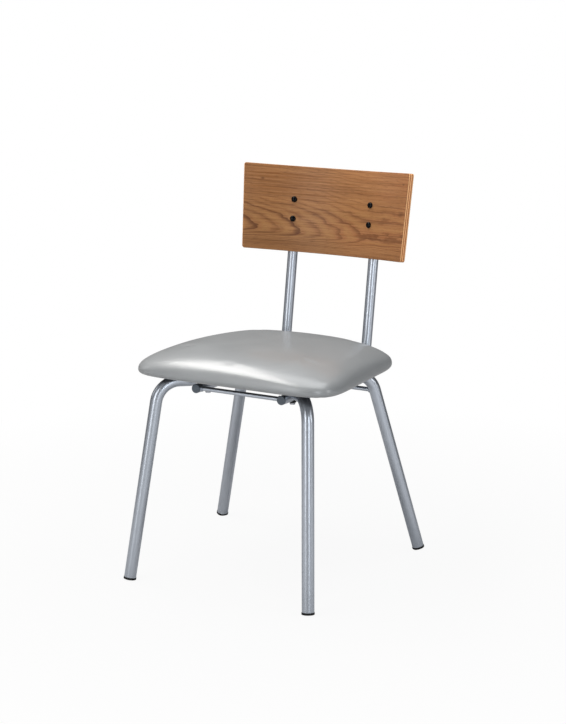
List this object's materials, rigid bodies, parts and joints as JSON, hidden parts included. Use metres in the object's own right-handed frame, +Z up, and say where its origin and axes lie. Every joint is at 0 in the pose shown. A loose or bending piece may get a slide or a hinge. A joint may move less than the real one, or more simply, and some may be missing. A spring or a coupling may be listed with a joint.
{
  "type": "choir chair",
  "caption": "Armless choir chair with splayed silver tube legs, a padded grey vinyl seat and a low curved walnut-faced plywood backrest on bent tube uprights.",
  "frame": {"origin": "on the floor, under the middle of the chair's box", "axes": "+Z up, the chair faces -Y, +X to the right as seen from its front"},
  "size_m": [0.5242, 0.5768, 0.8228],
  "materials": {
    "silver_paint": "satin silver-grey metallic paint with a fine flake",
    "zinc": "bright zinc plating, slightly uneven",
    "black_steel": "semi-gloss black plating",
    "black_plastic": "moulded black plastic, finely textured",
    "grey_plastic": "moulded dark grey plastic",
    "plywood": "clear lacquered beech plywood with its plies showing at the edge",
    "walnut_veneer": "satin lacquered walnut veneer, grain running across",
    "foam": "open cream foam",
    "vinyl": "smooth grey vinyl with a soft sheen",
    "dust_cloth": "black spun-bonded cloth"
  },
  "bodies": {
    "root": {"back_bolt_lower_left": "black_steel", "back_bolt_lower_right": "black_steel", "back_bolt_upper_left": "black_steel", "back_bolt_upper_right": "black_steel", "back_pad_lower_left": "black_plastic", "back_pad_lower_right": "black_plastic", "back_pad_upper_left": "black_plastic", "back_pad_upper_right": "black_plastic", "backrest_core": "plywood", "backrest_front_veneer": "walnut_veneer", "backrest_rear_veneer": "walnut_veneer", "cap_nut_lower_left": "zinc", "cap_nut_lower_right": "zinc", "cap_nut_saddle_lower_left": "black_plastic", "cap_nut_saddle_lower_right": "black_plastic", "cap_nut_saddle_upper_left": "black_plastic", "cap_nut_saddle_upper_right": "black_plastic", "cap_nut_upper_left": "zinc", "cap_nut_upper_right": "zinc", "front_cross_rod": "silver_paint", "glide_front_left": "black_plastic", "glide_front_right": "black_plastic", "glide_rear_left": "black_plastic", "glide_rear_right": "black_plastic", "leg_front_left": "silver_paint", "leg_front_right": "silver_paint", "leg_rear_left": "silver_paint", "leg_rear_right": "silver_paint", "rail_left": "silver_paint", "rail_plug_left": "grey_plastic", "rail_plug_right": "grey_plastic", "rail_right": "silver_paint", "rear_stretcher_rod": "silver_paint", "seat_base_board": "plywood", "seat_bolt_front_left": "zinc", "seat_bolt_front_right": "zinc", "seat_bolt_rear_left": "zinc", "seat_bolt_rear_right": "zinc", "seat_bolt_saddle_front_left": "black_plastic", "seat_bolt_saddle_front_right": "black_plastic", "seat_bolt_saddle_rear_left": "black_plastic", "seat_bolt_saddle_rear_right": "black_plastic", "seat_cover": "vinyl", "seat_dust_cloth": "dust_cloth", "seat_foam": "foam", "seat_spacer_front_left": "black_plastic", "seat_spacer_front_right": "black_plastic", "seat_spacer_rear_left": "black_plastic", "seat_spacer_rear_right": "black_plastic", "t_nut_front_left": "zinc", "t_nut_front_right": "zinc", "t_nut_rear_left": "zinc", "t_nut_rear_right": "zinc", "upright_left": "silver_paint", "upright_plug_left": "black_plastic", "upright_plug_right": "black_plastic", "upright_right": "silver_paint"}
  },
  "joints": []
}
